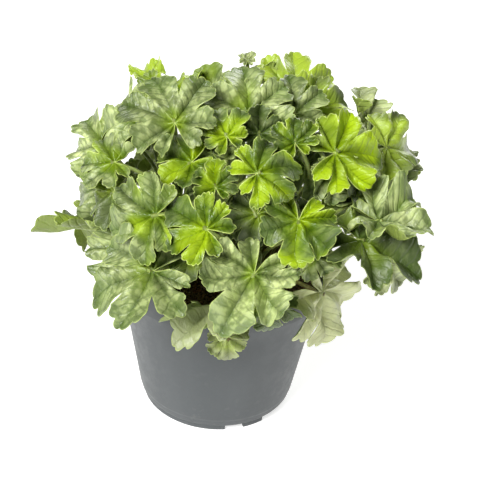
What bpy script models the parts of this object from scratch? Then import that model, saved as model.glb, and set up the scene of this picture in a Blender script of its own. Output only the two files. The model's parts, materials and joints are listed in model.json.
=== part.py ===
# Potted coral bells: a mound of lobed leaves on thin stalks, growing from seven short
# crowns that stand in the potting soil of a round plastic nursery pot.
#
# Metres, +Z up, the foot of the pot on Z = 0 and the front of the plant towards -Y.
# The finished part is moved so that the middle of its box is on the Z axis.
import math
from collections import namedtuple

import bmesh
import bpy
from mathutils import Vector

MM = 0.001

# Pot: a thin moulded wall that leans out, a wider collar at the top and a foot ring with gaps
POT_HEIGHT = 0.100
RIM_RADIUS = 0.065
COLLAR_DEPTH = 0.0155
COLLAR_LEAN = 0.0006
WALL_TOP_RADIUS = 0.0606
WALL_FOOT_RADIUS = 0.0463
WALL_THICKNESS = 0.0014
LIP_WIDTH = 0.0020
LIP_ROUND = 0.0006
FOOT_HEIGHT = 0.0034
FOOT_RADIUS = 0.0445
FOOT_WIDTH = 0.0024
FLOOR_THICKNESS = 0.0016
CORNER_HEIGHT = 0.0060
CORNER_BREAK = 0.0003
FOOT_DRAFT = 0.0004
POT_STEPS = 42
# Gaps in the foot ring, in degrees from the front and towards the right: two narrow, two wide
FOOT_GAPS = [(10, 25), (42, 105), (190, 205), (222, 285)]
GAP_SPAN = 15
DRAIN_COUNT = 6
DRAIN_RADIUS = 0.004
DRAIN_CIRCLE = 0.030
DRAIN_STEPS = 8

# Soil: fills the pot to a finger's width under the rim, slightly heaped in the middle
SOIL_DEPTH_BELOW_RIM = 0.0145
SOIL_HEAP = 0.0030
SOIL_SHOULDER = 0.0020
SOIL_RINGS = [0.0, 0.3, 0.6, 0.85]
SOIL_STEPS = 32
CLEARANCE = 0.0004

# Crowns: short woody stems, each in a plain hole in the soil
CROWN_RADIUS = 0.0058
CROWN_TOP = 0.0080
CROWN_DEPTH = 0.0200
CROWN_STEPS = 12
CROWN_CIRCLE = 0.023
OUTER_CROWNS = 6
# The crown's outline, as shares of its radius and of its height above the soil
CROWN_DOME = [(0.0, 0.0), (0.55, 0.1), (0.85, 0.4), (1.0, 1.1)]
CROWN_TAPER = 0.94

# Leaf stalks
STALK_ROOT_RADIUS = 0.0012
STALK_TIP_RADIUS = 0.0006
STALK_SPREADS = [0.0040, 0.0022]
STALK_ROOT_DEPTH = 0.0040
STALK_SPANS = 4
STALK_REACH = 0.42
# How far a stalk leans out as it leaves its crown, and how it comes up to its blade
STALK_LEAN = 0.35
STALK_ARRIVAL = (0.75, 0.45)
STALK_OVERRUN = 0.0022
STALK_TIP_DEPTH = 0.0003

# Leaf blade, as fractions of the length of its middle lobe
BLADE_THICKNESS = 0.0007
LOBE_ANGLES = [-143, -104, -53, 0, 53, 104, 143]
LOBE_LENGTHS = [0.50, 0.78, 0.92, 1.0, 0.92, 0.78, 0.50]
END_HALF_ANGLE = 18
LOBE_CUT = 0.33
LOBE_FULLNESS = 4.0
RUFFLE_HEIGHT = 0.07
RUFFLE_GROWTH = 1.3
BASE_RADIUS = 0.34
MAIN_TIPS = [-0.68, 0.0, 0.68]
BASAL_TIPS = [-0.6, 0.5]
INNER_SHARE = 0.55

# One row for each leaf, in millimetres and degrees:
#   shoot    the crown that it grows from, 0 in the middle and 1 to 6 round it
#   across   how far its base is to the right of the pot's axis
#   out      how far it is in front of the pot's axis
#   up       how far it is above the rim of the pot
#   length   from its base to the tip of its middle lobe
#   faces    where its upper face looks, 0 to the front and 90 to the right
#   lifts    how far that look is raised above the level
#   clock    where its middle lobe points, face on, 0 up and 90 to the right
#   fold     how far its sides are folded up along the middle lobe
#   droop    how far the middle lobe bends down to its tip
#   cup      how deep it is dished, in hundredths of its length
#   sway     how far its stalk bows sideways, anticlockwise from above
#   arch     how far its stalk arches up
Leaf = namedtuple("Leaf", "shoot across out up length faces lifts clock fold droop cup sway arch")
LEAVES = [Leaf(*row) for row in [
    (0, -29, 37, 101, 32, -9, 44, -25, 25, 25, 10, -12, 0),
    (0, 3, 5, 100, 16, -19, 50, -75, 40, 0, 30, -34, 0),
    (0, 10, 19, 100, 29, 5, 42, -3, 10, 10, 10, 0, 12),
    (0, -27, 3, 100, 28, -73, 59, -145, 10, 25, 8, 0, 6),
    (0, 35, 45, 98, 16, 5, 45, -10, 20, 10, 10, 26, 6),
    (0, 7, -55, 97, 7, 0, 60, -8, 40, 0, 0, 0, 0),
    (0, 35, 10, 97, 22, 8, 32, -2, 10, 10, 10, 0, 0),
    (0, 1, -31, 97, 31, -155, 65, -170, 10, 25, 8, 0, 0),
    (0, -1, 39, 96, 17, -5, 43, -25, 30, 10, 10, -12, 0),
    (0, 36, -20, 95, 28, 10, 42, 5, 5, 20, 5, 0, 6),
    (0, 45, -2, 95, 26, 40, 55, 82, 50, 10, 10, 0, 0),
    (0, 16, 29, 93, 16, 0, 24, -2, 30, 0, 20, 0, 0),
    (0, -7, 1, 90, 28, -18, 49, -31, 45, 10, 10, 0, 0),
    (0, -8, 39, 85, 21, -9, 42, -59, 10, 10, 10, -6, 6),
    (0, -19, 46, 83, 22, -19, 54, -132, 60, 20, 10, 0, 0),
    (0, 33, -27, 83, 33, 146, 71, 150, 10, 25, 8, 0, 12),
    (0, 42, 35, 79, 21, 10, 40, 163, 10, 20, 10, 0, 0),
    (1, 16, 66, 90, 23, 0, 45, 64, 20, 25, 10, 0, 0),
    (1, -5, 66, 80, 15, -3, 42, -16, 20, 10, 10, 0, 0),
    (1, 39, 78, 71, 26, 7, 42, -172, 32, 25, 10, 0, 0),
    (1, -8, 85, 66, 25, -10, 42, -69, 25, 25, 10, 0, 0),
    (1, 18, 58, 61, 20, 0, 35, -164, 10, 20, 10, -26, 12),
    (1, 20, 35, 53, 25, 5, 48, -180, 10, 10, 10, 0, 0),
    (1, -16, 69, 42, 18, 8, 23, -172, 50, 20, 10, 0, 0),
    (1, 18, 87, 42, 34, -3, 42, -160, 60, 20, 10, 0, 0),
    (1, -35, 87, 40, 35, -16, 59, -116, 10, 25, 5, -18, 0),
    (1, 27, 73, 15, 20, 10, 10, -180, 20, 20, 10, 0, 0),
    (1, -1, 77, 11, 27, 170, 66, 90, -90, 10, 0, 0, 0),
    (1, 6, 76, -8, 15, 0, 10, 178, 20, 20, 10, 26, 6),
    (2, 57, 42, 92, 29, 20, 44, 89, 30, 25, 8, 26, 26),
    (2, 56, 43, 81, 19, 21, 30, 178, 30, 10, 10, -18, 26),
    (2, 88, 4, 77, 25, 46, 38, 111, 25, 25, 10, 6, 6),
    (2, 80, 2, 71, 30, 65, 46, 150, 10, 25, 8, 0, 0),
    (2, 71, 42, 64, 24, 36, 38, 75, 10, 20, 10, -34, 0),
    (2, 82, 59, 63, 30, 25, 80, 119, 50, 10, 15, -6, -18),
    (2, 73, 67, 55, 35, 22, 74, 125, 25, 15, 5, 6, 0),
    (2, 53, 34, 53, 24, 20, 40, 179, 10, 20, 10, 0, 0),
    (2, 50, 63, 40, 16, 20, 20, -156, 30, 20, 10, -18, 0),
    (2, 90, 48, 30, 24, 35, 20, 147, 30, 20, 10, 0, 0),
    (2, 58, 49, 8, 37, 58, 12, 176, 10, 10, 5, 0, -18),
    (3, 78, -25, 78, 21, 55, 35, 19, 60, 0, 10, -12, 26),
    (3, 61, -34, 65, 33, 133, 59, 165, 10, 25, 8, 0, 0),
    (3, 95, -33, 58, 35, 113, 48, 140, 10, 25, 8, 0, 0),
    (3, 64, -73, 48, 35, 145, 45, -164, 10, 25, 8, 0, 0),
    (3, 92, -37, 16, 32, 119, 25, 165, 10, 25, 8, 0, 0),
    (3, 86, -66, 10, 36, 136, 24, -172, 10, 25, 8, 6, 0),
    (4, 37, -55, 78, 34, 154, 61, -170, 10, 25, 8, 34, 18),
    (4, 4, -55, 65, 33, -170, 62, 175, 10, 25, 8, 0, 0),
    (4, 14, -86, 54, 36, -180, 48, 170, 10, 25, 8, 0, 0),
    (4, 59, -92, 18, 34, 149, 30, 172, 10, 25, 8, 0, 0),
    (4, -37, -88, 18, 34, -143, 30, 165, 10, 25, 8, 0, 0),
    (4, 10, -99, 13, 36, -179, 22, -165, 10, 25, 8, 0, 0),
    (5, -45, -21, 82, 24, -31, 38, -92, 0, 20, 10, 0, 0),
    (5, -51, -65, 79, 14, -40, 70, -69, 70, 0, 0, 26, 0),
    (5, -28, -47, 78, 33, -143, 57, 170, 10, 25, 8, 0, 0),
    (5, -68, -32, 55, 33, -114, 46, -164, 10, 25, 8, 0, 0),
    (5, -35, -73, 48, 35, -143, 44, 165, 10, 25, 8, 0, 0),
    (5, -73, -17, 17, 33, -108, 26, -160, 10, 25, 8, 0, 0),
    (5, -69, -51, 11, 35, -127, 25, -174, 10, 25, 8, 0, -12),
    (6, -53, 7, 88, 28, -64, 54, -140, 10, 25, 8, 0, 6),
    (6, -61, 37, 75, 25, -41, 52, -115, 25, 25, 10, 0, 0),
    (6, -71, 0, 65, 30, -48, 47, -76, 15, 20, 10, 0, 0),
    (6, -36, 71, 64, 29, -22, 40, -125, 30, 25, 10, 18, 6),
    (6, -23, 50, 63, 20, -15, 40, -173, 10, 20, 10, 0, 0),
    (6, -61, 42, 59, 23, -45, 31, -139, 10, 20, 10, 0, 0),
    (6, -71, 14, 46, 25, -53, 36, -134, 10, 20, 10, 0, 0),
    (6, -54, 54, 33, 26, -57, 37, 170, 50, 20, 10, 0, 0),
    (6, -65, 29, 30, 45, -178, 51, 165, 0, 5, 0, 0, 0),
]]


def remove_everything():
    """Empties the file, so that the script gives the same part each time."""
    for thing in list(bpy.data.objects):
        bpy.data.objects.remove(thing, do_unlink=True)


def new_collection(name):
    """A collection linked to the scene."""
    collection = bpy.data.collections.new(name)
    bpy.context.scene.collection.children.link(collection)
    return collection


def new_material(name, colour, roughness):
    """A plain Principled finish."""
    material = bpy.data.materials.new(name)
    material.use_nodes = True
    shader = material.node_tree.nodes["Principled BSDF"]
    shader.inputs["Base Color"].default_value = (*colour, 1.0)
    shader.inputs["Roughness"].default_value = roughness
    shader.inputs["Metallic"].default_value = 0.0
    material.diffuse_color = (*colour, 1.0)
    return material


def mesh_object(name, points, edges, faces, collection, material=None):
    """An object made of a mesh from points."""
    mesh = bpy.data.meshes.new(name)
    mesh.from_pydata(points, edges, faces)
    thing = bpy.data.objects.new(name, mesh)
    collection.objects.link(thing)
    if material:
        mesh.materials.append(material)
    return thing


def turned(name, profile, steps, collection, material):
    """A profile of (radius, height) points turned round the Z axis."""
    points = [(radius, 0.0, height) for radius, height in profile]
    edges = [(i, i + 1) for i in range(len(points) - 1)]
    thing = mesh_object(name, points, edges, [], collection, material)
    screw = thing.modifiers.new("Turn", "SCREW")
    screw.axis = "Z"
    screw.steps = steps
    screw.render_steps = steps
    screw.use_merge_vertices = True
    screw.merge_threshold = 0.00001
    return thing


def cylinder(name, radius, bottom, top, centre, steps, collection):
    """A plain upright cylinder."""
    mesh = bpy.data.meshes.new(name)
    shape = bmesh.new()
    bmesh.ops.create_cone(shape, cap_ends=True, segments=steps, radius1=radius, radius2=radius,
                          depth=top - bottom)
    bmesh.ops.translate(shape, verts=shape.verts, vec=(centre[0], centre[1], (top + bottom) / 2))
    shape.to_mesh(mesh)
    shape.free()
    thing = bpy.data.objects.new(name, mesh)
    collection.objects.link(thing)
    return thing


def as_cutter(thing):
    """Keeps a cutting shape out of sight."""
    thing.hide_render = True
    thing.display_type = "WIRE"


def cut(thing, cutters, solver="EXACT"):
    """Takes every object of a collection out of one object."""
    boolean = thing.modifiers.new("Cut", "BOOLEAN")
    boolean.operation = "DIFFERENCE"
    boolean.operand_type = "COLLECTION"
    boolean.collection = cutters
    boolean.solver = solver


def bearing_point(radius, degrees, height):
    """A point at a bearing that is 0 at the front and 90 at the right."""
    angle = math.radians(degrees)
    return Vector((radius * math.sin(angle), -radius * math.cos(angle), height))


def wall_radius(height):
    """Outer radius of the pot's wall at a height, below the collar."""
    share = (height - FOOT_HEIGHT) / (POT_HEIGHT - COLLAR_DEPTH - FOOT_HEIGHT)
    return WALL_FOOT_RADIUS + (WALL_TOP_RADIUS - WALL_FOOT_RADIUS) * share


def pot_profile():
    """From the middle of the floor, up inside, over the lip, down outside and under the foot."""
    floor_top = FOOT_HEIGHT + FLOOR_THICKNESS
    ledge = POT_HEIGHT - COLLAR_DEPTH
    lip_inside = RIM_RADIUS - LIP_WIDTH
    corner = FOOT_HEIGHT + CORNER_HEIGHT
    inner_corner = floor_top + CORNER_HEIGHT / 2
    return [
        (0.0, floor_top),
        (wall_radius(floor_top) - WALL_THICKNESS * 2, floor_top),
        (wall_radius(inner_corner) - WALL_THICKNESS, inner_corner),
        (wall_radius(ledge) - WALL_THICKNESS, ledge + WALL_THICKNESS / 2),
        (lip_inside - COLLAR_LEAN / 2, ledge + WALL_THICKNESS * 1.5),
        (lip_inside, POT_HEIGHT - LIP_ROUND),
        (lip_inside + LIP_ROUND, POT_HEIGHT),
        (RIM_RADIUS - LIP_ROUND, POT_HEIGHT),
        (RIM_RADIUS, POT_HEIGHT - LIP_ROUND),
        (RIM_RADIUS - COLLAR_LEAN, ledge),
        (WALL_TOP_RADIUS, ledge),
        (wall_radius(corner), corner),
        (wall_radius(FOOT_HEIGHT) - CORNER_BREAK, FOOT_HEIGHT + CORNER_HEIGHT / 3),
        (FOOT_RADIUS + FOOT_DRAFT, FOOT_HEIGHT),
        (FOOT_RADIUS, 0.0),
        (FOOT_RADIUS - FOOT_WIDTH, 0.0),
        (FOOT_RADIUS - FOOT_WIDTH - FOOT_DRAFT, FOOT_HEIGHT),
        (0.0, FOOT_HEIGHT),
    ]


def foot_gap(name, start, end, cutters):
    """A wedge that opens the foot ring between two bearings."""
    near = FOOT_RADIUS - FOOT_WIDTH * 2
    far = FOOT_RADIUS + FOOT_WIDTH * 2
    bottom = -FOOT_HEIGHT
    top = FOOT_HEIGHT - CLEARANCE
    spans = max(1, round((end - start) / GAP_SPAN))
    points = []
    faces = []
    for step in range(spans + 1):
        bearing = start + (end - start) * step / spans
        for radius, height in ((near, bottom), (far, bottom), (far, top), (near, top)):
            points.append(bearing_point(radius, bearing, height))
    for step in range(spans):
        base = step * 4
        for side in range(4):
            after = (side + 1) % 4
            faces.append((base + side, base + after, base + 4 + after, base + 4 + side))
    faces.append((3, 2, 1, 0))
    faces.append((spans * 4, spans * 4 + 1, spans * 4 + 2, spans * 4 + 3))
    wedge = mesh_object(name, points, [], faces, cutters)
    shape = bmesh.new()
    shape.from_mesh(wedge.data)
    bmesh.ops.recalc_face_normals(shape, faces=shape.faces)
    shape.to_mesh(wedge.data)
    shape.free()
    as_cutter(wedge)


def make_pot(plant, material):
    """The nursery pot, with drain holes in its floor and gaps in its foot ring."""
    cutters = new_collection("Pot cutters")
    for number, (start, end) in enumerate(FOOT_GAPS):
        foot_gap(f"foot_gap_{number + 1}", start, end, cutters)
    for number in range(DRAIN_COUNT):
        centre = bearing_point(DRAIN_CIRCLE, 360 * number / DRAIN_COUNT, 0)
        drain = cylinder(f"drain_{number + 1}", DRAIN_RADIUS, -FOOT_HEIGHT, FOOT_HEIGHT * 2,
                         centre, DRAIN_STEPS, cutters)
        as_cutter(drain)
    pot = turned("pot", pot_profile(), POT_STEPS, plant, material)
    cut(pot, cutters)
    return pot


def soil_top(radius):
    """Height of the soil at a distance from the axis."""
    edge = POT_HEIGHT - SOIL_DEPTH_BELOW_RIM
    return edge + SOIL_HEAP * (0.5 + 0.5 * math.cos(math.pi * radius / RIM_RADIUS))


def crown_centres():
    """One crown in the middle and the others evenly round it."""
    ring = [bearing_point(CROWN_CIRCLE, 360 * number / OUTER_CROWNS, 0)
            for number in range(OUTER_CROWNS)]
    return [Vector((0, 0, 0))] + ring


def crown_top():
    """Height of the crowns' domed tops."""
    return POT_HEIGHT - SOIL_DEPTH_BELOW_RIM + SOIL_HEAP + CROWN_TOP


def crown_bottom():
    """Height of the crowns' lower ends, in the soil."""
    return POT_HEIGHT - SOIL_DEPTH_BELOW_RIM - CROWN_DEPTH


def make_soil(plant, material):
    """The root ball, with a plain hole for each crown."""
    cutters = new_collection("Soil cutters")
    for number, centre in enumerate(crown_centres()):
        hole = cylinder(f"crown_hole_{number}", CROWN_RADIUS + CLEARANCE, crown_bottom() - CLEARANCE,
                        POT_HEIGHT, centre, CROWN_STEPS, cutters)
        as_cutter(hole)
    bottom = FOOT_HEIGHT + FLOOR_THICKNESS + CLEARANCE
    inner_corner = FOOT_HEIGHT + FLOOR_THICKNESS + CORNER_HEIGHT / 2
    gap = WALL_THICKNESS + CLEARANCE
    edge_height = POT_HEIGHT - SOIL_DEPTH_BELOW_RIM
    edge_radius = wall_radius(edge_height - SOIL_SHOULDER) - gap
    radii = [edge_radius * share for share in SOIL_RINGS]
    profile = [(radius, soil_top(radius)) for radius in radii]
    profile += [
        (edge_radius - SOIL_SHOULDER / 2, edge_height),
        (edge_radius, edge_height - SOIL_SHOULDER),
        (wall_radius(inner_corner) - gap, inner_corner + CLEARANCE),
        (wall_radius(bottom) - WALL_THICKNESS * 2 - CLEARANCE, bottom),
        (0.0, bottom),
    ]
    soil = turned("soil", profile, SOIL_STEPS, plant, material)
    cut(soil, cutters)
    return soil


def blade_frame(leaf):
    """The look of the blade's upper face, its middle lobe's direction and its left side."""
    faces = math.radians(leaf.faces)
    lifts = math.radians(leaf.lifts)
    clock = math.radians(leaf.clock)
    normal = Vector((math.sin(faces) * math.cos(lifts), -math.cos(faces) * math.cos(lifts),
                     math.sin(lifts)))
    twelve = Vector((-math.sin(faces) * math.sin(lifts), math.cos(faces) * math.sin(lifts),
                     math.cos(lifts)))
    along = twelve * math.cos(clock) + twelve.cross(normal) * math.sin(clock)
    return normal, along, normal.cross(along)


def lobe_reach(lobe, place):
    """Length of the blade in a lobe, at a place that runs from -1 to 1 across it."""
    length = LOBE_LENGTHS[lobe]
    neighbour = lobe + (1 if place > 0 else -1)
    valley = BASE_RADIUS
    if 0 <= neighbour < len(LOBE_LENGTHS):
        valley = (1 - LOBE_CUT) * (length + LOBE_LENGTHS[neighbour]) / 2
    return valley + (length - valley) * (1 - abs(place) ** LOBE_FULLNESS)


def half_angle(lobe, place):
    """Angle from the middle of a lobe to its side: half way to the next lobe, if there is one."""
    neighbour = lobe + (1 if place > 0 else -1)
    if 0 <= neighbour < len(LOBE_ANGLES):
        return abs(LOBE_ANGLES[neighbour] - LOBE_ANGLES[lobe]) / 2
    return END_HALF_ANGLE


def flat_point(lobe, place, share=1.0):
    """A point of the open blade: along and to the left of the middle lobe, and how far it rises."""
    angle = math.radians(LOBE_ANGLES[lobe] + half_angle(lobe, place) * place)
    reach = lobe_reach(lobe, place) * share
    rise = -RUFFLE_HEIGHT * math.cos(math.pi * place) * reach ** RUFFLE_GROWTH
    return reach * math.cos(angle), reach * math.sin(angle), rise


def bent_point(leaf, open_point):
    """The same point on the folded, drooping and dished blade, in world space."""
    along, left, rise = open_point
    height = rise + leaf.cup / 100 * (along * along + left * left)
    fold = math.radians(leaf.fold)
    if fold:
        height += (1 - math.cos(fold * left)) / fold
        left = math.sin(fold * left) / fold
    droop = math.radians(leaf.droop)
    if droop:
        turn = droop * along
        along = math.sin(turn) / droop - height * math.sin(turn)
        height = height * math.cos(turn) - (1 - math.cos(turn)) / droop
    normal, lobe_way, left_way = blade_frame(leaf)
    length = leaf.length * MM
    return leaf_base(leaf) + (lobe_way * along + left_way * left + normal * height) * length


def leaf_base(leaf):
    """Where the stalk meets the blade."""
    return Vector((leaf.across * MM, -leaf.out * MM, POT_HEIGHT + leaf.up * MM))


def blade_surface(leaf):
    """Points and triangles of the open blade: its base, a point in each lobe and the lobed edge."""
    points = [bent_point(leaf, (0.0, 0.0, 0.0))]
    faces = []

    def add(lobe, place, share=1.0):
        points.append(bent_point(leaf, flat_point(lobe, place, share)))
        return len(points) - 1

    valley = add(0, -1.0)
    middle = add(0, 0.0, INNER_SHARE)
    faces.append((0, valley, middle))
    last = len(LOBE_ANGLES) - 1
    for lobe in range(last + 1):
        tips = BASAL_TIPS if lobe in (0, last) else MAIN_TIPS
        edge = [valley] + [add(lobe, place) for place in tips] + [add(lobe, 1.0)]
        faces += [(middle, first, second) for first, second in zip(edge, edge[1:])]
        valley = edge[-1]
        if lobe < last:
            next_middle = add(lobe + 1, 0.0, INNER_SHARE)
            faces += [(0, middle, next_middle), (middle, valley, next_middle)]
            middle = next_middle
    faces.append((0, middle, valley))
    return points, faces


def crown_bearing(shoot):
    """The side of the pot that a crown stands on, as a bearing from the front."""
    return 360 * (shoot - 1) / OUTER_CROWNS


def leaf_bearing(leaf):
    """How far round its crown a leaf is, from -180 to 180 with the crown's own side at 0."""
    way = leaf_base(leaf) - crown_centres()[leaf.shoot]
    bearing = math.degrees(math.atan2(way.x, -way.y))
    return (bearing - crown_bearing(leaf.shoot) + 180) % 360 - 180


def stalk_root(leaf):
    """Where a stalk starts: those of a crown stand round it in the order of their leaves."""
    own = [leaf_bearing(other) for other in LEAVES if other.shoot == leaf.shoot]
    rank = sum(bearing < leaf_bearing(leaf) for bearing in own)
    turn = (rank + 0.5) / len(own) * 360 - 180
    radius = STALK_SPREADS[rank % len(STALK_SPREADS)]
    height = crown_top() - STALK_ROOT_DEPTH
    spread = bearing_point(radius, crown_bearing(leaf.shoot) + turn, height)
    return crown_centres()[leaf.shoot] + spread


def stalk_line(leaf):
    """The four control points of a stalk, from inside its crown to inside its blade."""
    normal, along, _ = blade_frame(leaf)
    base = leaf_base(leaf)
    root = stalk_root(leaf)
    outwards = Vector((base.x - root.x, base.y - root.y, 0.0)).normalized()
    span = (base - root).length
    sideways = Vector((-outwards.y, outwards.x, 0.0))
    bow = sideways * leaf.sway * MM + Vector((0.0, 0.0, leaf.arch * MM))
    arrival = (along * STALK_ARRIVAL[0] + normal * STALK_ARRIVAL[1]).normalized()
    tip = base + along * STALK_OVERRUN - normal * STALK_TIP_DEPTH
    root_handle = root + (Vector((0, 0, 1)) + outwards * STALK_LEAN) * span * STALK_REACH + bow / 2
    tip_handle = base - arrival * span * STALK_REACH + bow
    return root, root_handle, tip_handle, tip


def make_blade(name, leaf, collection):
    """A leaf blade: its open surface given a thickness."""
    points, faces = blade_surface(leaf)
    blade = mesh_object(name, points, [], faces, collection)
    solidify = blade.modifiers.new("Thickness", "SOLIDIFY")
    solidify.thickness = BLADE_THICKNESS
    solidify.offset = 0.0
    return blade


def make_stalk(name, leaf, collection):
    """A leaf stalk: a curve with a round section that tapers, made a mesh."""
    root, root_handle, tip_handle, tip = stalk_line(leaf)
    curve = bpy.data.curves.new(name, "CURVE")
    curve.dimensions = "3D"
    curve.bevel_depth = STALK_ROOT_RADIUS
    curve.bevel_resolution = 0
    curve.use_fill_caps = True
    spline = curve.splines.new("BEZIER")
    spline.resolution_u = STALK_SPANS
    spline.bezier_points.add(1)
    ends = ((root, root_handle, 1.0), (tip, tip_handle, STALK_TIP_RADIUS / STALK_ROOT_RADIUS))
    for point, (place, handle, radius) in zip(spline.bezier_points, ends):
        point.handle_left_type = "FREE"
        point.handle_right_type = "FREE"
        point.co = place
        point.handle_right = handle if place is root else place * 2 - handle
        point.handle_left = place * 2 - handle if place is root else handle
        point.radius = radius
    thing = bpy.data.objects.new(name, curve)
    collection.objects.link(thing)
    return curve_to_mesh(thing, collection)


def curve_to_mesh(thing, collection):
    """Makes a curve object a closed mesh object."""
    bpy.context.view_layer.update()
    evaluated = thing.evaluated_get(bpy.context.evaluated_depsgraph_get())
    mesh = bpy.data.meshes.new_from_object(evaluated)
    name = thing.name
    place = thing.matrix_world.copy()
    bpy.data.objects.remove(thing, do_unlink=True)
    shape = bmesh.new()
    shape.from_mesh(mesh)
    bmesh.ops.remove_doubles(shape, verts=shape.verts, dist=0.00002)
    bmesh.ops.recalc_face_normals(shape, faces=shape.faces)
    shape.to_mesh(mesh)
    shape.free()
    solid = bpy.data.objects.new(name, mesh)
    solid.matrix_world = place
    collection.objects.link(solid)
    return solid


def crown_profile():
    """The short woody stem, from its domed top to its cut lower end."""
    dome = [(CROWN_RADIUS * wide, crown_top() - CROWN_TOP * deep) for wide, deep in CROWN_DOME]
    return dome + [(CROWN_RADIUS * CROWN_TAPER, crown_bottom()), (0.0, crown_bottom())]


def apply_modifiers(thing):
    """Replaces an object's mesh by what its modifiers make of it."""
    bpy.context.view_layer.update()
    evaluated = thing.evaluated_get(bpy.context.evaluated_depsgraph_get())
    mesh = bpy.data.meshes.new_from_object(evaluated)
    thing.modifiers.clear()
    thing.data = mesh


def make_shoot(number, plant, material):
    """One crown with the leaves that grow from it, joined into a single body."""
    growth = new_collection(f"Growth {number}")
    for count, leaf in enumerate(leaf for leaf in LEAVES if leaf.shoot == number):
        make_blade(f"blade_{number}_{count}", leaf, growth)
        make_stalk(f"stalk_{number}_{count}", leaf, growth)
    shoot = turned(f"shoot_{number}", crown_profile(), CROWN_STEPS, plant, material)
    shoot.location = crown_centres()[number]
    union = shoot.modifiers.new("Grow together", "BOOLEAN")
    union.operation = "UNION"
    union.operand_type = "COLLECTION"
    union.collection = growth
    union.solver = "EXACT"
    apply_modifiers(shoot)
    for thing in list(growth.objects):
        bpy.data.objects.remove(thing, do_unlink=True)
    bpy.data.collections.remove(growth)
    return shoot


def centre_on_axis(things):
    """Moves the parts so that the middle of their common box is on the Z axis."""
    bpy.context.view_layer.update()
    corners = [thing.matrix_world @ Vector(corner) for thing in things for corner in thing.bound_box]
    middle_x = (min(c.x for c in corners) + max(c.x for c in corners)) / 2
    middle_y = (min(c.y for c in corners) + max(c.y for c in corners)) / 2
    for thing in things:
        thing.location.x -= middle_x
        thing.location.y -= middle_y


def main():
    """Makes the pot, the soil and the seven shoots."""
    remove_everything()
    plant = new_collection("Potted coral bells")
    plastic = new_material("Grey polypropylene", (0.16, 0.17, 0.17), 0.45)
    peat = new_material("Potting peat", (0.020, 0.013, 0.009), 0.95)
    leafy = new_material("Silver green leaf", (0.25, 0.36, 0.13), 0.50)
    pot = make_pot(plant, plastic)
    soil = make_soil(plant, peat)
    shoots = [make_shoot(number, plant, leafy) for number in range(OUTER_CROWNS + 1)]
    parts = [pot, soil] + shoots
    cutters = [thing for thing in bpy.data.objects if thing not in parts]
    centre_on_axis(parts)
    for cutter in cutters:
        cutter.location = pot.location


if __name__ == "__main__":
    main()
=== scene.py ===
# Potted coral bells: fine leaves, stalks, crowns, peat and nursery pot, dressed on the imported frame.
# Lengths are in millimetres in the dictionaries and in metres in Blender. The front is towards -Y.
import json
import math
from functools import partial

import bmesh
import bpy
import numpy as np
from mathutils import Matrix, Vector, noise

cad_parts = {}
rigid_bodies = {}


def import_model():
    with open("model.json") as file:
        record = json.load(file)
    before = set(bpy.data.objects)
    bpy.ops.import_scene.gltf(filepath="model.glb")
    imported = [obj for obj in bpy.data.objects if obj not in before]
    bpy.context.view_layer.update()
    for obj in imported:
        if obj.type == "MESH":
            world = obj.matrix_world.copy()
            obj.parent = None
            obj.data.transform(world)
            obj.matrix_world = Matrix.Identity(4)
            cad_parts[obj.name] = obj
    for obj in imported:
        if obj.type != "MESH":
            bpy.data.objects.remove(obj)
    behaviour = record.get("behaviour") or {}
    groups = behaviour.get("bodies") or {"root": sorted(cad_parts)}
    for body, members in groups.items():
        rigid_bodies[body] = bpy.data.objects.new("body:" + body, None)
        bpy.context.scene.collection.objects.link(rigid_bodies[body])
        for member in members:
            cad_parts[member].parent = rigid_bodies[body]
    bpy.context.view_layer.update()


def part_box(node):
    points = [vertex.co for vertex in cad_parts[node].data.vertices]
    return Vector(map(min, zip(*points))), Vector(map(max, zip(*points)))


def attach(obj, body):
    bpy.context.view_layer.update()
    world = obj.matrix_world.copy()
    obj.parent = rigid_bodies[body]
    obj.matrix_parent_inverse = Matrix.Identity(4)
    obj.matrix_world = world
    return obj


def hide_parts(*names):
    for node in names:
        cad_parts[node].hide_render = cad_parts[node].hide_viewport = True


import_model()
mm = 0.001
scene = bpy.context.scene

potLow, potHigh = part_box("pot")
soilLow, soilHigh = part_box("soil")
axisX = (potLow.x + potHigh.x) / 2
axisY = (potLow.y + potHigh.y) / 2
rimHeight = potHigh.z
rimRadius = (potHigh.x - potLow.x) / 2
soilDepth = 14.5  # mm from the rim down to the edge of the soil
soilHeap = 3.0    # mm that its middle stands above its edge


def linearColour(code):
    # sRGB hex to the linear values that Blender's sockets hold
    parts = [int(code[i:i + 2], 16) / 255 for i in (1, 3, 5)]
    linear = [c / 12.92 if c <= 0.04045 else ((c + 0.055) / 1.055) ** 2.4 for c in parts]
    return (*linear, 1.0)


# settings that a kind of node takes unless a call says otherwise, and two sums that many share
usual = {"Mix": {"data_type": "RGBA"}, "MapRange": {"interpolation_type": "SMOOTHSTEP"}}
times, scaled = {"operation": "MULTIPLY"}, {"operation": "MULTIPLY_ADD"}


def addNode(tree, kind, *values, sockets=None, **settings):
    # one node with its settings; the values go to its inputs in their order, or by name in sockets,
    # and each is a number, a colour, another node's output, or a node, whose first output is meant
    node = tree.nodes.new(kind if "Node" in kind else "ShaderNode" + kind)
    for name, value in {**usual.get(kind, {}), **settings}.items():
        setattr(node, name, value)
    pairs = list(zip([socket for socket in node.inputs if socket.enabled], values))
    pairs += [(node.inputs[name], value) for name, value in (sockets or {}).items()]
    for socket, value in pairs:
        if isinstance(value, bpy.types.Node):
            value = next(output for output in value.outputs if output.enabled)
        if isinstance(value, bpy.types.NodeSocket):
            tree.links.new(value, socket)
        else:
            socket.default_value = linearColour(value) if isinstance(value, str) else value
    return node


def newMaterial(name):
    # an empty material and a way to add nodes to it
    material = bpy.data.materials.new(name)
    material.use_nodes = True
    material.node_tree.nodes.clear()
    return material, partial(addNode, material.node_tree)


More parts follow.
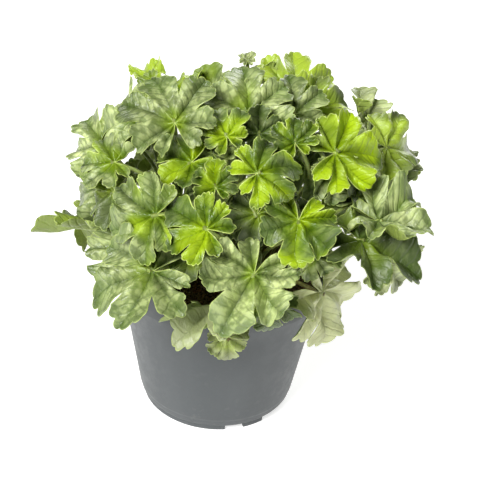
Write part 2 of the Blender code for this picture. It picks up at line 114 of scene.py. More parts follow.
def finished(material, surface):
    # the material, ended by its surface
    add = partial(addNode, material.node_tree)
    add("OutputMaterial", add("BsdfPrincipled", sockets=surface))
    return material


def addObject(name, data):
    thing = bpy.data.objects.new(name, data)
    scene.collection.objects.link(thing)
    return thing


def addPiece(name, material, points, loops, sizes):
    # a smooth piece from its points, the corners of all its faces in one row and each face's count
    mesh = bpy.data.meshes.new(name)
    mesh.vertices.add(len(points))
    mesh.vertices.foreach_set("co", np.asarray(points, np.float32).ravel())
    mesh.loops.add(len(loops))
    mesh.loops.foreach_set("vertex_index", np.asarray(loops, np.int32))
    sizes = np.asarray(sizes, np.int32)
    mesh.polygons.add(len(sizes))
    mesh.polygons.foreach_set("loop_start", np.cumsum(sizes, dtype=np.int32) - sizes)
    mesh.polygons.foreach_set("loop_total", sizes)
    mesh.update(calc_edges=True)
    mesh.polygons.foreach_set("use_smooth", np.ones(len(sizes), bool))
    mesh.materials.append(material)
    return addObject(name, mesh)


def unit(values):
    return values / np.linalg.norm(values, axis=-1, keepdims=True)


def around(radius, bearing, height=0.0):
    # a place at a bearing from the front towards the right
    return np.array([radius * math.sin(bearing), -radius * math.cos(bearing), height])


def evaluatedMesh(thing):
    # what the object's modifiers make, as a plain mesh; the modifiers go
    bpy.context.view_layer.update()
    seen = thing.evaluated_get(bpy.context.evaluated_depsgraph_get())
    mesh = bpy.data.meshes.new_from_object(seen)
    thing.modifiers.clear()
    return mesh


def dressed(piece, node):
    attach(piece, "root")
    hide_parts(node)


def newFolder(name):
    folder = bpy.data.collections.new(name)
    scene.collection.children.link(folder)
    return folder


def removeFolder(folder):
    for thing in list(folder.objects):
        bpy.data.objects.remove(thing)
    bpy.data.collections.remove(folder)


def keepShape(folder, name, shape):
    # a finished bmesh as an object in the folder
    mesh = bpy.data.meshes.new(name)
    shape.to_mesh(mesh)
    shape.free()
    folder.objects.link(bpy.data.objects.new(name, mesh))


def closedFaces(steps, rows):
    # corners and sizes of the faces of a closed shape: rings of points, then its top and bottom point
    loops = []
    top, last = rows * steps, (rows - 1) * steps
    for step in range(steps):
        after = (step + 1) % steps
        loops += [top, step, after]
        for low in range(0, last, steps):
            loops += [low + step, low + steps + step, low + steps + after, low + after]
        loops += [top + 1, last + after, last + step]
    return loops, ([3] + [4] * (rows - 1) + [3]) * steps


def turnedShape(profile, steps):
    # points and faces of a closed turned shape; the profile runs down the outer side
    profile = np.array(profile) * mm
    turn = np.linspace(0, 2 * math.pi, steps, endpoint=False)
    rings = [np.stack([np.cos(turn) * radius, np.sin(turn) * radius, np.full(steps, height)], -1)
             for radius, height in profile[1:-1]]
    ends = [[0, 0, profile[0, 1]], [0, 0, profile[-1, 1]]]
    return (np.concatenate((*rings, ends)), *closedFaces(steps, len(rings)))


# Leaves. One row for each leaf, in millimetres and degrees: across, out and up of its base from the
# pot's axis and rim, length, where it faces, how far it lifts, its clock, fold, droop and cup, its
# colour, and the sway and arch of its stalk where it has them.
leafRows = {
    "shoot_0": [
        (-29, 37, 101, 32, -9, 44, -25, 25, 25, 10, "grey", -12, 0),
        (3, 5, 100, 16, -19, 50, -75, 40, 0, 30, "silver", -34, 0),
        (10, 19, 100, 29, 5, 42, -3, 10, 10, 10, "silver", 0, 12),
        (-27, 3, 100, 28, -73, 59, -145, 10, 25, 8, "lime", 0, 6),
        (35, 45, 98, 16, 5, 45, -10, 20, 10, 10, "lime", 26, 6),
        (7, -55, 97, 7, 0, 60, -8, 40, 0, 0, "pale"),
        (35, 10, 97, 22, 8, 32, -2, 10, 10, 10, "grey"),
        (1, -31, 97, 31, -155, 65, -170, 10, 25, 8, "silver"),
        (-1, 39, 96, 17, -5, 43, -25, 30, 10, 10, "mid", -12, 0),
        (36, -20, 95, 28, 10, 42, 5, 5, 20, 5, "bright", 0, 6),
        (45, -2, 95, 26, 40, 55, 82, 50, 10, 10, "bright"),
        (16, 29, 93, 16, 0, 24, -2, 30, 0, 20, "dark"),
        (-7, 1, 90, 28, -18, 49, -31, 45, 10, 10, "mottled"),
        (-8, 39, 85, 21, -9, 42, -59, 10, 10, 10, "silver", -6, 6),
        (-19, 46, 83, 22, -19, 54, -132, 60, 20, 10, "lime"),
        (33, -27, 83, 33, 146, 71, 150, 10, 25, 8, "silver", 0, 12),
        (42, 35, 79, 21, 10, 40, 163, 10, 20, 10, "dark"),
    ],
    "shoot_1": [
        (16, 66, 90, 23, 0, 45, 64, 20, 25, 10, "lime"),
        (-5, 66, 80, 15, -3, 42, -16, 20, 10, 10, "lime"),
        (39, 78, 71, 26, 7, 42, -172, 32, 25, 10, "lime"),
        (-8, 85, 66, 25, -10, 42, -69, 25, 25, 10, "lime"),
        (18, 58, 61, 20, 0, 35, -164, 10, 20, 10, "dark", -26, 12),
        (20, 35, 53, 25, 5, 48, -180, 10, 10, 10, "dark"),
        (-16, 69, 42, 18, 8, 23, -172, 50, 20, 10, "olive"),
        (18, 87, 42, 34, -3, 42, -160, 60, 20, 10, "silver"),
        (-35, 87, 40, 35, -16, 59, -116, 10, 25, 5, "grey", -18, 0),
        (27, 73, 15, 20, 10, 10, -180, 20, 20, 10, "green"),
        (-1, 77, 11, 27, 170, 66, 90, -90, 10, 0, "yellow"),
        (6, 76, -8, 15, 0, 10, 178, 20, 20, 10, "yellow", 26, 6),
    ],
    "shoot_2": [
        (57, 42, 92, 29, 20, 44, 89, 30, 25, 8, "fresh", 26, 26),
        (56, 43, 81, 19, 21, 30, 178, 30, 10, 10, "silver", -18, 26),
        (88, 4, 77, 25, 46, 38, 111, 25, 25, 10, "bright", 6, 6),
        (80, 2, 71, 30, 65, 46, 150, 10, 25, 8, "silver"),
        (71, 42, 64, 24, 36, 38, 75, 10, 20, 10, "dark", -34, 0),
        (82, 59, 63, 30, 25, 80, 119, 50, 10, 15, "silver", -6, -18),
        (73, 67, 55, 35, 22, 74, 125, 25, 15, 5, "dark", 6, 0),
        (53, 34, 53, 24, 20, 40, 179, 10, 20, 10, "dark"),
        (50, 63, 40, 16, 20, 20, -156, 30, 20, 10, "silver", -18, 0),
        (90, 48, 30, 24, 35, 20, 147, 30, 20, 10, "pale"),
        (58, 49, 8, 37, 58, 12, 176, 10, 10, 5, "faded", 0, -18),
    ],
    "shoot_3": [
        (78, -25, 78, 21, 55, 35, 19, 60, 0, 10, "pale", -12, 26),
        (61, -34, 65, 33, 133, 59, 165, 10, 25, 8, "lime"),
        (95, -33, 58, 35, 113, 48, 140, 10, 25, 8, "silver"),
        (64, -73, 48, 35, 145, 45, -164, 10, 25, 8, "silver"),
        (92, -37, 16, 32, 119, 25, 165, 10, 25, 8, "lime"),
        (86, -66, 10, 36, 136, 24, -172, 10, 25, 8, "silver", 6, 0),
    ],
    "shoot_4": [
        (37, -55, 78, 34, 154, 61, -170, 10, 25, 8, "silver", 34, 18),
        (4, -55, 65, 33, -170, 62, 175, 10, 25, 8, "silver"),
        (14, -86, 54, 36, -180, 48, 170, 10, 25, 8, "lime"),
        (59, -92, 18, 34, 149, 30, 172, 10, 25, 8, "silver"),
        (-37, -88, 18, 34, -143, 30, 165, 10, 25, 8, "silver"),
        (10, -99, 13, 36, -179, 22, -165, 10, 25, 8, "lime"),
    ],
    "shoot_5": [
        (-45, -21, 82, 24, -31, 38, -92, 0, 20, 10, "green"),
        (-51, -65, 79, 14, -40, 70, -69, 70, 0, 0, "bright", 26, 0),
        (-28, -47, 78, 33, -143, 57, 170, 10, 25, 8, "lime"),
        (-68, -32, 55, 33, -114, 46, -164, 10, 25, 8, "silver"),
        (-35, -73, 48, 35, -143, 44, 165, 10, 25, 8, "silver"),
        (-73, -17, 17, 33, -108, 26, -160, 10, 25, 8, "lime"),
        (-69, -51, 11, 35, -127, 25, -174, 10, 25, 8, "silver", 0, -12),
    ],
    "shoot_6": [
        (-53, 7, 88, 28, -64, 54, -140, 10, 25, 8, "silver", 0, 6),
        (-61, 37, 75, 25, -41, 52, -115, 25, 25, 10, "mottled"),
        (-71, 0, 65, 30, -48, 47, -76, 15, 20, 10, "silver"),
        (-36, 71, 64, 29, -22, 40, -125, 30, 25, 10, "mid", 18, 6),
        (-23, 50, 63, 20, -15, 40, -173, 10, 20, 10, "grey"),
        (-61, 42, 59, 23, -45, 31, -139, 10, 20, 10, "olive"),
        (-71, 14, 46, 25, -53, 36, -134, 10, 20, 10, "grey"),
        (-54, 54, 33, 26, -57, 37, 170, 50, 20, 10, "grey"),
        (-65, 29, 30, 45, -178, 51, 165, 0, 5, 0, "olive"),
    ],
}
leafTones = {  # shares of lime, silver bloom, painted shade and yellowing; the painted shade darkens leaves that lie in the shade of others
    "silver": (0.25, 1.0, 0.0, 0.0),
    "mottled": (0.55, 0.85, 0.05, 0.0),
    "mid": (0.6, 0.7, 0.05, 0.0),
    "lime": (0.85, 0.3, 0.0, 0.0),
    "fresh": (0.9, 0.45, 0.0, 0.0),
    "green": (0.4, 0.3, 0.2, 0.0),
    "grey": (0.05, 0.8, 0.2, 0.0),
    # olive and dark leaves lie deep in the plant and are darkened mostly by painted shade
    "olive": (0.35, 0.15, 0.4, 0.1),
    "dark": (0.15, 0.4, 0.5, 0.0),
    "pale": (0.2, 1.0, 0.0, 0.25),
    "yellow": (0.3, 0.3, 0.0, 0.42),
    "bright": (1.05, 0.1, 0.0, 0.12),
    # faded: a pale, yellowed leaf, made paler still as painted light, since it hangs in the shadow of the
    # leaves above
    "faded": (0.05, 1.0, 0.0, 0.85),
}
leafForm = {  # in degrees and in shares of a leaf's length, but in mm for its thickness
    "lobeAngles": (-143, -104, -53, 0, 53, 104, 143),
    "lobeLengths": (0.60, 0.80, 0.93, 1.0, 0.93, 0.80, 0.60),
    "endAngle": 24,
    "angleJitter": 3.5,
    "lengthJitter": 0.06,
    "lobeCut": (0.20, 0.31),
    "baseRadius": 0.38,
    "fullness": (5.0, 8.5),  # the higher, the broader the lobes and the narrower their notches
    "dome": 0.15,  # how far the lobe's end falls back to its sides
    "lobeSteps": 36,
    "basalSteps": 18,
    "rings": (0.08, 0.17, 0.27, 0.37, 0.47, 0.57, 0.67, 0.77, 0.86, 0.93, 0.97, 1.0),
    "gapDepth": (0.025, 0.055),  # between the three scallops of a lobe
    "gapSpread": (1.55, 0.12),
    "gapRoundness": 0.5,
    "basalGap": 0.5,
    "teeth": 6,
    "basalTeeth": 3,
    "toothHeight": 0.050,
    "toothRoundness": 0.6,
    "toothShift": 0.10,
    "toothFade": 0.3,  # how much lower the teeth are beside a notch
    "halfThickness": 0.26,
    "edgeHalfThickness": 0.14,
    "ruffle": (0.07, 0.18),  # how far the notches stand above the lobes' middles
    "ruffleGrowth": 0.9,
    "creaseSharpness": 1.4,
    "flare": (3.0, 14.0),  # degrees that a lobe's sides spread past the notch, over its neighbour
    "tuck": (0.04, 0.10),  # how far one of the two passes over the other
    "lobeBend": (-0.14, 0.28),
    "bendGrowth": 2.2,
    "lobeTwist": 0.30,
    "lobeCurve": 12.0,  # degrees that a lobe's end swings sideways at most
    "waves": ((2, 0.055), (3, 0.055), (5, 0.055), (8, 0.034), (13, 0.014)),  # count, height
    "puckers": 5,
    "puckerPitch": (9, 17),
    "puckerHeight": 0.020,
    "veinGroove": 0.040,
    "veinWidth": 0.085,
    "edgeTaper": 0.5,  # how fast a blade thins towards its edge
    "seed": 4,
}


def leafFrame(row):
    # the look of the upper face, the middle lobe's way and the left side
    faces, lifts, clock = (math.radians(v) for v in row[4:7])
    normal = around(math.cos(lifts), faces, math.sin(lifts))
    twelve = around(-math.sin(lifts), faces, math.cos(lifts))
    along = twelve * math.cos(clock) + np.cross(twelve, normal) * math.sin(clock)
    return normal, along, np.cross(normal, along)


def leafBase(row):
    return np.array([axisX + row[0] * mm, axisY - row[1] * mm, rimHeight + row[2] * mm])


def bendLeaf(row, along, left, lift):
    # the folded, drooping and dished blade, from flat places in leaf lengths
    height = row[9] / 100 * (along ** 2 + left ** 2) + lift
    fold = math.radians(row[7])
    if fold:
        height = height + (1 - np.cos(fold * left)) / fold
        left = np.sin(fold * left) / fold
    droop = math.radians(row[8])
    if droop:
        turn = droop * along
        along = np.sin(turn) / droop - height * np.sin(turn)
        height = height * np.cos(turn) - (1 - np.cos(turn)) / droop
    normal, ahead, side = leafFrame(row)
    spread = along[..., None] * ahead + left[..., None] * side + height[..., None] * normal
    return leafBase(row) + spread * row[3] * mm


def lobedOutline(form, draw):
    # columns of the blade from flank to flank: angle, reach, lobe, place across the lobe, and how
    # far out its notch is, how far it flares past it and how high it passes over its neighbour;
    # then the angle of each lobe's middle
    count = len(form["lobeAngles"])
    angles = np.array(form["lobeAngles"]) + draw.normal(0, form["angleJitter"], count)
    lengths = np.array(form["lobeLengths"]) * (1 + draw.normal(0, form["lengthJitter"], count))
    cuts = draw.uniform(*form["lobeCut"], count + 1)
    fullness = draw.uniform(*form["fullness"], count)
    depths = draw.uniform(*form["gapDepth"], count)
    shifts = draw.uniform(-form["toothShift"], form["toothShift"], count)
    flares = np.radians(draw.uniform(*form["flare"], count + 1))
    tucks = draw.uniform(*form["tuck"], count + 1) * draw.choice((-1, 1), count + 1)
    flares[[0, -1]] = tucks[[0, -1]] = 0
    end, base = form["endAngle"], form["baseRadius"]
    bounds = np.concatenate(([angles[0] - end], (angles[1:] + angles[:-1]) / 2, [angles[-1] + end]))
    valleys = np.concatenate(([base], (1 - cuts[1:-1]) * (lengths[1:] + lengths[:-1]) / 2, [base]))
    near, far = form["gapSpread"]
    columns = []
    for lobe in range(count):
        ending = lobe in (0, count - 1)
        steps = form["basalSteps"] if ending else form["lobeSteps"]
        teeth = form["basalTeeth"] if ending else form["teeth"]
        depth = depths[lobe] * (form["basalGap"] if ending else 1)
        for step in range(steps + (lobe == count - 1)):
            place = -1 + 2 * step / steps
            side, way = (lobe + 1, 1) if place > 0 else (lobe, -1)
            valley = valleys[side]
            angle = angles[lobe] + abs(place) * (bounds[side] - angles[lobe])
            drop = (1 - math.cos(math.pi * abs(place) ** fullness[lobe])) / 2
            reach = lengths[lobe] - (lengths[lobe] - valley) * drop
            across = place + shifts[lobe] * (1 - place ** 2)
            turn = math.pi * (near * across + far * across ** 3)
            gap = depth * (1 - abs(math.cos(turn)) ** form["gapRoundness"])
            tooth = abs(math.sin(math.pi * teeth * (across + 1) / 2)) ** form["toothRoundness"]
            reach -= (gap + form["toothHeight"] * (1 - tooth)) * (1 - form["toothFade"] * place ** 4)
            reach -= form["dome"] * lengths[lobe] * place ** 2
            columns.append((math.radians(angle), reach, lobe, place, valley, flares[side] * way,
                            tucks[side] * way))
    return (*(np.array(column) for column in zip(*columns)), np.radians(angles))


def easedAcross(values, lobe, place):
    # a value for each lobe, eased from one lobe's middle to the next
    after = np.clip(np.where(place > 0, lobe + 1, lobe - 1), 0, len(values) - 1)
    share = np.abs(place) ** 3 * 0.5
    return values[lobe] * (1 - share) + values[after] * share


def leafRelief(form, draw, angle, reach, lobe, place, radius, share, middle):
    # how far the blade rises above its plain form, in leaf lengths
    count = len(form["lobeAngles"])
    ruffle = easedAcross(draw.uniform(*form["ruffle"], count), lobe, place)
    bend = easedAcross(draw.uniform(*form["lobeBend"], count), lobe, place)
    twist = draw.uniform(-form["lobeTwist"], form["lobeTwist"], count)[lobe]
    crease = 1 - 2 * np.sin(np.abs(place) * math.pi / 2) ** form["creaseSharpness"]
    lift = -ruffle * crease * radius ** form["ruffleGrowth"]
    lift = lift - bend * radius ** form["bendGrowth"] + twist * np.sin(math.pi * place) * radius ** 2
    for waves, height in form["waves"]:
        phase = draw.uniform(0, 2 * math.pi)
        lift = lift + height * draw.uniform(0.5, 1.5) * np.sin(waves * angle + phase) * share ** 2 * reach
    along, left = radius * np.cos(angle), radius * np.sin(angle)
    for _ in range(form["puckers"]):
        way = draw.uniform(0, math.pi)
        pitch = draw.uniform(*form["puckerPitch"])
        phase = draw.uniform(0, 2 * math.pi)
        swell = np.sin(pitch * (along * math.cos(way) + left * math.sin(way)) + phase)
        lift = lift + form["puckerHeight"] * swell * np.minimum(1, radius * 3)
    gap = radius * np.abs(np.sin(angle - middle[lobe]))
    return lift - form["veinGroove"] * np.exp(-(gap / form["veinWidth"]) ** 2) * (1 - 0.7 * share)


def edgeDistance(points, outline):
    # distance from each flat point to the outline, all in leaf lengths
    nearest = np.full(len(points), 9.0)
    for first, step in zip(outline, np.diff(outline, axis=0)):
        share = np.clip(((points - first) @ step) / max(step @ step, 1e-12), 0, 1)
        nearest = np.minimum(nearest, np.hypot(*(points - first - share[:, None] * step).T))
    return nearest


def leafFaces(columns, rings):
    # corners of both faces and the rim of one blade, and the column that each face starts at
    sheet = 1 + rings * columns
    loops, sizes, starts = [], [], []

    def at(ring, column):
        return 1 + ring * columns + column

    for column in range(columns - 1):
        faces = [[0, at(0, column), at(0, column + 1)]]
        faces += [[at(ring, column), at(ring + 1, column), at(ring + 1, column + 1), at(ring, column + 1)]
                  for ring in range(rings - 1)]
        for face in faces:
            loops += face + [sheet + corner for corner in reversed(face)]
            sizes += [len(face)] * 2
            starts += [column] * 2
    last = rings - 1
    rim = [0] + [at(ring, 0) for ring in range(rings)]
    rim += [at(last, column) for column in range(1, columns)]
    rim += [at(ring, columns - 1) for ring in range(last - 1, -1, -1)] + [0]
    for first, second in zip(rim, rim[1:]):
        loops += [sheet + first, sheet + second, second, first]
        sizes.append(4)
        starts.append(max(0, min(columns - 2, (min(first, second) - 1) % columns if first else 0)))
    return np.array(loops), np.array(sizes), np.array(starts)


def makeBlade(row, form, draw):
    # one blade: points of both faces, corner maps and the values that its material reads
    angle, reach, lobe, place, notch, flare, tuck, middle = lobedOutline(form, draw)
    share = np.array(form["rings"])[:, None]
    radius = share * reach
    along, left = radius * np.cos(angle), radius * np.sin(angle)
    beyond = np.clip((radius - notch) / (1 - notch), 0, 1) * np.abs(place)
    lift = leafRelief(form, draw, angle, reach, lobe, place, radius, share, middle) + tuck * beyond
    curve = np.radians(draw.uniform(-form["lobeCurve"], form["lobeCurve"], len(middle)))
    spread = angle + flare * beyond + easedAcross(curve, lobe, place) * radius ** 2
    grid = bendLeaf(row, radius * np.cos(spread), radius * np.sin(spread), lift)
    normals = unit(np.cross(np.gradient(grid, axis=0), np.gradient(grid, axis=1)))
    hub = bendLeaf(row, np.zeros(1), np.zeros(1), np.array([-form["veinGroove"] * 0.3]))
    flat = np.concatenate(([[0.0, 0.0]], np.stack([along, left], -1).reshape(-1, 2)))
    outline = np.concatenate((flat[:1], flat[-len(angle):], flat[:1]))
    gap = edgeDistance(flat, outline) * row[3]
    middlePoints = np.concatenate((hub, grid.reshape(-1, 3)))
    middleNormals = np.concatenate(([unit(normals[0].mean(0))], normals.reshape(-1, 3)))
    taper = np.exp(-gap / form["edgeTaper"])
    half = form["halfThickness"] * (1 - taper) + form["edgeHalfThickness"] * taper
    offset = middleNormals * half[:, None] * mm
    points = np.concatenate((middlePoints + offset, middlePoints - offset))
    away = np.concatenate(([0.0], radius.ravel()))
    return points, flat * row[3] / 10, np.tile(gap, 2), np.tile(away, 2), lobe, middle


def makeLeaves(name, rows, form, material, seed):
    # all the blades of one shoot in one piece
    draw = np.random.default_rng(seed)
    columns = 2 * form["basalSteps"] + 5 * form["lobeSteps"] + 1
    rings = len(form["rings"])
    sheet = 1 + rings * columns
    loops, sizes, starts = leafFaces(columns, rings)
    faceOfLoop = np.repeat(np.arange(len(sizes)), sizes)
    blades = []
    for number, row in enumerate(rows):
        points, flat, gap, away, lobe, middle = makeBlade(row, form, draw)
        place = flat[loops % sheet]
        spot = place + draw.uniform(0, 60, 2)
        turn = -middle[lobe[starts]][faceOfLoop]
        turned = np.stack([place[:, 0] * np.cos(turn) - place[:, 1] * np.sin(turn),
                           place[:, 0] * np.sin(turn) + place[:, 1] * np.cos(turn)], -1)
        tone = np.clip(np.array(leafTones[row[10]]) + draw.normal(0, 0.05, 4) * (1, 1, 0, 0), 0, 1)
        blades.append((points, loops + number * len(points), sizes, spot, turned, gap, away,
                       np.repeat([1.0, 0.0], sheet), np.tile(tone, (len(points), 1))))
    points, corners, counts, *values = (np.concatenate(part) for part in zip(*blades))
    leaves = addPiece(name, material, points, corners, counts)
    for label, value in zip(("bladeMap", "lobeMap", "edgeGap", "leafAway", "upperFace", "leafTone"), values):
        if label.endswith("Map"):
            layer, field = leaves.data.uv_layers.new(name=label), "uv"
        elif value.ndim == 1:
            layer, field = leaves.data.attributes.new(label, "FLOAT", "POINT"), "value"
        else:
            layer, field = leaves.data.attributes.new(label, "FLOAT_COLOR", "POINT"), "color"
        layer.data.foreach_set(field, value.astype(np.float32).ravel())
    return leaves


# Leaf finish: living blade, soft and satin, with a silver bloom between green veins
leafFinish = {
    "green": "#3f5b09",
    "deepGreen": "#2c4306",
    "silver": "#ccd994",
    "greySilver": "#6c8049",
    "lime": "#466200",
    "brightLime": "#9eba00",
    # painted shade: the dark green that leaves in the shade of others are darkened towards
    "shade": "#3c4a22",
    # pale yellowing, partly painted light: kept bright so that the faded leaf looks lit though it lies in
    # shade
    "yellowing": "#dbdfaa",
    # pale margin, partly the leaf's own colour and partly painted edge light
    "margin": "#c3d572",
    "underside": "#8c9d4c",
    "noises": ((22.222, 1.0), (11.111, 2.0), (4.1667, 2.5), (0.66667, 3.0)),  # size, detail
    "veinSpacing": 4.5,  # between side veins
    "veinLean": 0.85,
    "veinHalfWidth": 0.35,
    "bandWidth": 2.6,  # plain green beside a main vein
    "marginWidth": 0.42,  # real margins are finer, but narrower ones don't show
    "roughness": 0.34,
    "bump": 0.9,
}


def leafMaterial(finish):
    material, add = newMaterial("living leaf")
    tone = add("Attribute", attribute_name="leafTone")
    # the tone holds shares of lime, silver bloom and painted shade, with yellowing in its alpha
    lime, silver, shade = add("SeparateColor", tone).outputs
    away, edge, upper = (add("Attribute", attribute_name=name).outputs["Fac"]
                         for name in ("leafAway", "edgeGap", "upperFace"))
    blade = add("UVMap", uv_map="bladeMap")
    lobe = add("SeparateXYZ", add("UVMap", uv_map="lobeMap"))
    # both maps are in centimetres
    sector, broad, mottle, grain = (add("TexNoise", blade, 10 / size, detail)
                                    for size, detail in finish["noises"])
    spacing, vein, band = (finish[name] / 10 for name in ("veinSpacing", "veinHalfWidth", "bandWidth"))
    # side veins leave the main vein on a slant, staggered on its two sides
    across = add("Math", lobe.outputs[1], operation="ABSOLUTE")
    course = add("Math", across, -finish["veinLean"], lobe, **scaled)
    course = add("Math", broad, spacing * 1.4, course, **scaled)
    rightSide = add("Math", lobe.outputs[1], 0.0, operation="GREATER_THAN")
    course = add("Math", rightSide, spacing * 0.45, course, **scaled)
    sideGap = add("Math", course, spacing / 2, operation="PINGPONG")
    sideVein = add("MapRange", sideGap, 0.0, spacing * 0.22, 1.0, 0.0)
    mainWidth = add("MapRange", away, 0.1, 0.95, vein * 2.2, vein)
    mainVein = add("MapRange", add("Math", across, mainWidth, operation="DIVIDE"), 0.2, 1.2, 1.0, 0.0)
    patches = add("Math", add("MapRange", mottle, 0.34, 0.68), add("Math", sideVein, -0.55, 1.0, **scaled),
                  **times)
    # fresh lime spreads from the hub, in some sectors further than in others
    sectors = add("Math", add("MapRange", sector, 0.30, 0.66, 0.0, 0.8),
                  add("MapRange", lime, 0.0, 0.6, 0.5, 1.0), **times)
    spread = add("Math", add("Math", lime, 0.85, sectors, **scaled), away, operation="SUBTRACT")
    fresh = add("MapRange", spread, -0.10, 0.70)
    green = add("Mix", add("MapRange", broad, 0.35, 0.65), finish["deepGreen"], finish["green"])
    glow = add("Math", patches, 0.25, add("MapRange", sector, 0.44, 0.64, 0.0, 0.75), **scaled)
    glow = add("Math", glow, add("MapRange", lime, 0.92, 1.0, 0.0, 0.7), operation="ADD")
    # silver bloom lies between the veins and leaves the hub and the lime free
    pale = add("Mix", add("MapRange", away, 0.45, 1.0, 1.0, 0.25), finish["greySilver"], finish["silver"])
    bloom = silver
    for share in (add("MapRange", away, 0.05, 0.5, 0.45, 1.0), add("Math", fresh, -0.8, 1.0, **scaled),
                  add("MapRange", across, vein, band, 0.5, 1.0),
                  add("MapRange", patches, 0.0, 0.9, 0.40, 1.0)):
        bloom = add("Math", bloom, share, **times)
    # a pale margin along the edge, partly the leaf's own colour and partly painted light where light shines
    # through the thin edge; stronger on lime leaves
    margin = finish["marginWidth"]
    rim = add("Math", add("MapRange", fresh, 0.0, 1.0, 0.35, 0.85),
              add("MapRange", edge, margin * 0.3, margin, 1.0, 0.0), **times)
    above, below = green, finish["underside"]
    # upper face layers: lime, silver bloom, vein green, yellowing, painted shade, then the pale margin with
    # its painted edge light
    for share, over in ((fresh, add("Mix", glow, finish["lime"], finish["brightLime"])), (bloom, pale),
                        (add("Math", mainVein, 0.25, **times), green),
                        (add("Math", tone.outputs["Alpha"], 0.85, **times), finish["yellowing"]),
                        (add("Math", shade, 0.8, **times), finish["shade"]), (rim, finish["margin"])):
        above = add("Mix", share, above, over)
    # under face: pale veins, then painted shade
    for share, over in ((add("Math", mainVein, 0.6, **times), finish["margin"]),
                        (add("Math", shade, 0.5, **times), finish["shade"])):
        below = add("Mix", share, below, over)
    veins = add("Math", mainVein, 0.3, add("Math", sideVein, 0.4, **times), **scaled)
    relief = add("Math", veins, -0.8, add("Math", grain, 0.3, mottle, **scaled), **scaled)
    rough = finish["roughness"]
    return finished(material, {
        "Base Color": add("Mix", add("MapRange", upper, 0.35, 0.65), below, above),
        "Normal": add("Bump", finish["bump"], 0.8 * mm, sockets={"Height": relief}),
        "Roughness": add("MapRange", mottle, 0.3, 0.7, rough - 0.05, rough + 0.10),
        "Specular IOR Level": 0.44, "Subsurface Weight": 0.08, "Subsurface Scale": 1.0 * mm,
        "Subsurface Radius": (0.7, 1.0, 0.2)})


# Stalks: thin and round, from the crown to the underside of the blade
stalkForm = {
    "crownCircle": 23.0,
    "outerCrowns": 6,
    "crownTop": 8.0,  # above the soil
    "rootDepth": 4.0,
    "spreads": (4.0, 2.2),  # how far from the crown's middle the stalks stand
    "reach": 0.42,  # of the curve's handles, in its lengths
    "lean": 0.35,
    "overrun": 2.2,
    "tipDepth": 0.3,
    "arrival": (0.75, 0.45),  # how far a stalk comes in along the blade and from below
    "rootRadius": 1.15,
    "tipRadius": 0.62,
    "taper": 0.7,
    "sheath": 0.5,  # how much thicker a stalk is where it leaves its crown
    "sides": 8,
    "spans": 16,
    "skin": "#66752e",
    "patches": "#8a9a4c",
    "flush": "#6b4a2c",
    "speckles": "#c4cf8c",
}
crownSurface = rimHeight / mm - soilDepth + soilHeap + stalkForm["crownTop"]


def crownPlace(number):
    # the first crown stands in the middle and the others in a ring
    turn = 2 * math.pi * (number - 1) / stalkForm["outerCrowns"]
    ring = stalkForm["crownCircle"] * mm if number else 0.0
    return around(ring, turn) + (axisX, axisY, 0.0)


def stalkLine(row, number, rows):
    # the four control points of a stalk
    form = stalkForm
    centre = crownPlace(number)
    own = math.degrees(2 * math.pi * (number - 1) / form["outerCrowns"])

    def bearing(leaf):
        way = leafBase(leaf) - centre
        return (math.degrees(math.atan2(way[0], -way[1])) - own + 180) % 360 - 180

    rank = sum(bearing(leaf) < bearing(row) for leaf in rows)
    turn = math.radians(own + (rank + 0.5) / len(rows) * 360 - 180)
    radius = form["spreads"][rank % len(form["spreads"])] * mm
    root = centre + around(radius, turn, (crownSurface - form["rootDepth"]) * mm)
    normal, along, _ = leafFrame(row)
    base = leafBase(row)
    way = base - root
    reach = np.linalg.norm(way) * form["reach"]
    outwards = unit(way * (1, 1, 0))
    sway, arch = row[11:] or (0, 0)
    bow = np.array([-outwards[1] * sway, outwards[0] * sway, arch]) * mm
    ahead, below = form["arrival"]
    arrival = unit(along * ahead + normal * below)
    tip = base + (along * form["overrun"] - normal * form["tipDepth"]) * mm
    rootHandle = root + (np.array([0, 0, 1]) + outwards * form["lean"]) * reach + bow * 0.5
    return root, rootHandle, base - arrival * reach + bow, tip


def newTree(name, **inputs):
    # an empty Geometry Nodes tree, a way to add nodes to it, and its named inputs
    tree = bpy.data.node_groups.new(name, "GeometryNodeTree")
    for label, kind in {"Geometry": "Geometry", **inputs}.items():
        tree.interface.new_socket(label, in_out="INPUT", socket_type="NodeSocket" + kind)
    tree.interface.new_socket("Geometry", in_out="OUTPUT", socket_type="NodeSocketGeometry")
    return tree, partial(addNode, tree), tree.nodes.new("NodeGroupInput").outputs


def endTree(add, geometry, material):
    real = add("GeometryNodeRealizeInstances", geometry)
    add("NodeGroupOutput", add("GeometryNodeSetMaterial", real, sockets={"Material": material}))


def sweepTree(name, material):
    # Geometry Nodes: a round section carried along every curve, scaled by the curve's own radius
    tree, add, start = newTree(name, Sides="Int", Radius="Float")
    section = add("GeometryNodeCurvePrimitiveCircle", start["Sides"], start["Radius"])
    tube = add("GeometryNodeCurveToMesh", start["Geometry"], section, sockets={"Fill Caps": True})
    endTree(add, add("GeometryNodeSetShadeSmooth", tube), material)
    return tree


def grownMesh(carrier, tree, **values):
    # what the tree makes of the carrier, which then goes; inputs are set by their identifiers
    modifier = carrier.modifiers.new("Tree", "NODES")
    modifier.node_group = tree
    for item in tree.interface.items_tree:
        if item.in_out == "INPUT" and item.name in values:
            modifier[item.identifier] = values[item.name]
    mesh = evaluatedMesh(carrier)
    bpy.data.objects.remove(carrier)
    return mesh


